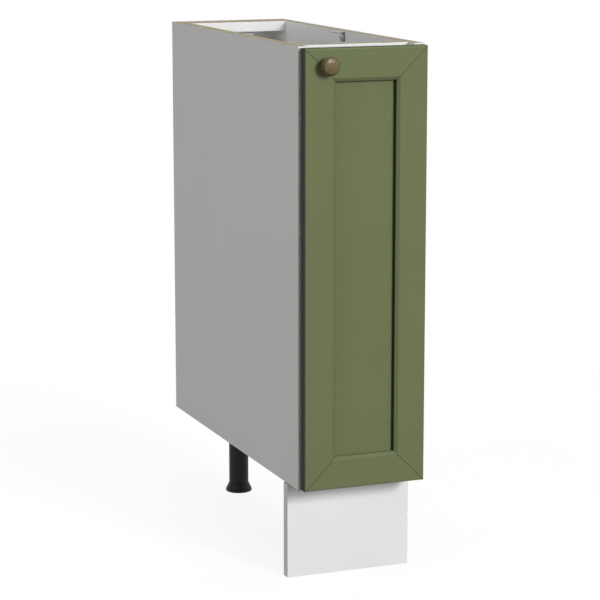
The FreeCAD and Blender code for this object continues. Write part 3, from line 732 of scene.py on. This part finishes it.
def beechFinish():
    look = beechLook
    material, wire, place = startFinish("beech")
    grain = place.noise(look["grain"], detail=3.0, stretch=look["grainAlong"])
    fleck = place.noise(look["fleck"], detail=1.0, stretch=look["fleckAlong"], seed=2.0)
    tone = grain.blend(fleck, look["fleckShare"]).ramp(*look["toneSpan"])
    return endFinish(material, wire, {
        "Base Color": tone.tint(look["pale"], look["dark"]),
        "Roughness": look["roughness"] + fleck * look["fleckRough"],
        "Normal": grain.bump(look["grainHeight"], look["grainStrength"])})


dress("dowels", beechFinish())


# Door bumpers: low domes of clear rubber, stuck to the back of the door
rubberLook = {"clear": srgb(214, 216, 212), "hazy": srgb(196, 198, 192), "haze": 0.002, "hazeSpan": (0.3, 0.7),
              "hazeHeight": 0.00003, "hazeStrength": 0.4, "roughness": 0.25, "hazeRough": 0.2,
              "transmission": 0.55, "ior": 1.46}
bumperShape = {"flat": 0.55, "edge": 0.0003, "rows": 14, "sides": 40}


def rubberFinish():
    look = rubberLook
    material, wire, place = startFinish("clearRubber")
    haze = place.noise(look["haze"], detail=3.0)
    return endFinish(material, wire, {
        "Base Color": haze.ramp(*look["hazeSpan"]).tint(look["clear"], look["hazy"]),
        "Roughness": look["roughness"] + haze * look["hazeRough"],
        "Normal": haze.bump(look["hazeHeight"], look["hazeStrength"]),
        "Transmission Weight": look["transmission"], "IOR": look["ior"]})


def bumperGrid(points):
    # straight edge, then height = top - (top - edge) * t^2 from the flat middle out to the rim
    shape = bumperShape
    lowest, highest = points.min(0), points.max(0)
    radius, top = (highest[0] - lowest[0]) / 2, highest[1] - lowest[1]
    ring = np.linspace(1, 0, shape["rows"])
    drop = np.clip((ring - shape["flat"]) / (1 - shape["flat"]), 0, 1) ** 2
    dome = np.stack([ring * radius, top - (top - shape["edge"]) * drop], -1)
    profile = np.concatenate([[[0, 0], [radius, 0]], dome])
    middle = (lowest + highest) / 2
    return stand(revolve(profile, shape["sides"]), (middle[0], lowest[1], middle[2]), (0, 1, 0))


addPiece("door_bumpers_domed", [bumperGrid(points) for points in solidsOf("door_bumpers")], rubberFinish(),
         "door", ["door_bumpers"])
print("dowels and bumpers")


# Floor and world: white to the camera and to reflections, plain daylight to everything else
stageLook = {
    "reach": 60.0, "floorAlbedo": srgb(112, 112, 112), "speckAlbedo": srgb(108, 108, 108), "speck": 0.01,
    "speckSpan": (0.3, 0.7), "shownAlbedo": srgb(104, 104, 104), "shownGlow": 0.89, "shadowReach": (0.5, 1.6),
    "white": (1, 1, 1, 1), "ambient": 0.12,
}


def seenDirectly(wire):
    rays = wire.add("LightPath", out=("Is Camera Ray", "Is Glossy Ray", "Is Transmission Ray"))
    return (rays[0] + rays[1] + rays[2]) & 1.0


def buildFloor():
    look = stageLook
    reach = look["reach"]
    corners = [(-reach, -reach, 0), (reach, -reach, 0), (reach, reach, 0), (-reach, reach, 0)]
    mesh = bpy.data.meshes.new("floor")
    mesh.from_pydata(corners, [], [(0, 1, 2, 3)])
    floor = bpy.data.objects.new("floor", mesh)
    bpy.context.scene.collection.objects.link(floor)
    material, wire, place = startFinish("paleFloor")
    speck = place.noise(look["speck"], detail=2.0)
    albedo = speck.ramp(*look["speckSpan"]).tint(look["floorAlbedo"], look["speckAlbedo"])
    fromMiddle = wire.add("VectorMath", {"operation": "LENGTH"}, {0: place}, out="Value")
    bounced = wire.add("BsdfDiffuse", None, {"Color": albedo})
    shadowed = wire.add("BsdfDiffuse", None, {"Color": look["shownAlbedo"]})
    glow = wire.add("Emission", None, {"Color": look["white"], "Strength": look["shownGlow"]})
    white = wire.add("Emission", None, {"Color": look["white"], "Strength": 1.0})
    near = wire.add("AddShader", None, {0: glow, 1: shadowed})
    shown = wire.add("MixShader", None, {0: fromMiddle.ramp(*look["shadowReach"]), 1: near, 2: white})
    both = wire.add("MixShader", None, {0: seenDirectly(wire), 1: bounced, 2: shown})
    below = wire.add("NewGeometry", out="Backfacing")        # nothing hides the cabinet from below
    clear = wire.add("BsdfTransparent")
    wire.add("OutputMaterial", None, {"Surface": wire.add("MixShader", None, {0: below, 1: both, 2: clear})})
    mesh.materials.append(material)


def buildWorld():
    look = stageLook
    world = bpy.data.worlds.new("daylight")
    world.use_nodes = True
    world.node_tree.nodes.clear()
    sky = Wire(world.node_tree)
    soft = sky.add("Background", None, {"Color": look["white"], "Strength": look["ambient"]})
    white = sky.add("Background", None, {"Color": look["white"], "Strength": 1.0})
    both = sky.add("MixShader", None, {0: seenDirectly(sky), 1: soft, 2: white})
    sky.add("OutputWorld", None, {"Surface": both})
    bpy.context.scene.world = world


buildFloor()
buildWorld()


# Lamps: azimuth is turned from the front (-Y) towards the right (+X), elevation is above the floor, and
# level is the light on a face turned to the lamp, where 1 shows a colour as it is written; wash is soft light
# and gleam is a reflection in gloss
lamps = {
    "keyLamp": {"azimuth": 17, "elevation": 21, "distance": 6.5, "size": 1.3, "level": 0.61, "wash": True},
    "lowFront": {"azimuth": 15, "elevation": 9, "distance": 6.5, "size": 1.3, "level": 0.21, "wash": True},
    "leftLow": {"azimuth": -72, "elevation": 13, "distance": 6.0, "size": 2.5, "level": 0.178, "wash": True},
    "leftHigh": {"azimuth": -84, "elevation": 55, "distance": 6.0, "size": 1.1, "level": 0.07, "wash": True},
    "overhead": {"azimuth": -20, "elevation": 84, "distance": 5.0, "size": 3.0, "level": 0.24, "wash": True,
                 "gleam": True},
    "rearFill": {"azimuth": 165, "elevation": 32, "distance": 6.0, "size": 4.0, "level": 0.3, "wash": True},
    "leftPanel": {"azimuth": -18, "elevation": 52, "distance": 6.0, "size": 2.4, "level": 0.46, "gleam": True},
    "rightPanel": {"azimuth": 22, "elevation": 43, "distance": 6.0, "size": 1.6, "level": 0.18, "gleam": True},
}
lampsAimAt = np.array([0.0, 0.0, 0.45])


def buildLamps():
    for name, lamp in lamps.items():
        turn, rise = math.radians(lamp["azimuth"]), math.radians(lamp["elevation"])
        toLamp = np.array([math.sin(turn) * math.cos(rise), -math.cos(turn) * math.cos(rise), math.sin(rise)])
        light = bpy.data.lights.new(name, "AREA")
        light.size = lamp["size"]
        light.energy = lamp["level"] * (math.pi * lamp["distance"]) ** 2
        lampObject = bpy.data.objects.new(name, light)
        lampObject.location = lampsAimAt + toLamp * lamp["distance"]
        lampObject.rotation_euler = (math.pi / 2 - rise, 0, turn)
        lampObject.visible_camera = False
        lampObject.visible_diffuse = lamp.get("wash", False)
        lampObject.visible_glossy = lamp.get("gleam", False)
        bpy.context.scene.collection.objects.link(lampObject)


buildLamps()


# Camera at the photograph's place: left of the front and a little above the cabinet
view = {"place": (-1.2840, -3.2741, 1.0629), "yaw": 21.539, "pitch": 10.903, "lens": 134.22, "sensor": 36.0}
camera = bpy.data.cameras.new("camera")
camera.lens, camera.sensor_width = view["lens"], view["sensor"]
cameraObject = bpy.data.objects.new("camera", camera)
cameraObject.location = view["place"]
cameraObject.rotation_euler = (math.radians(90 - view["pitch"]), 0, -math.radians(view["yaw"]))
bpy.context.scene.collection.objects.link(cameraObject)
bpy.context.scene.camera = cameraObject
bpy.context.scene.view_settings.view_transform = "Standard"
print("stage, lamps and camera")
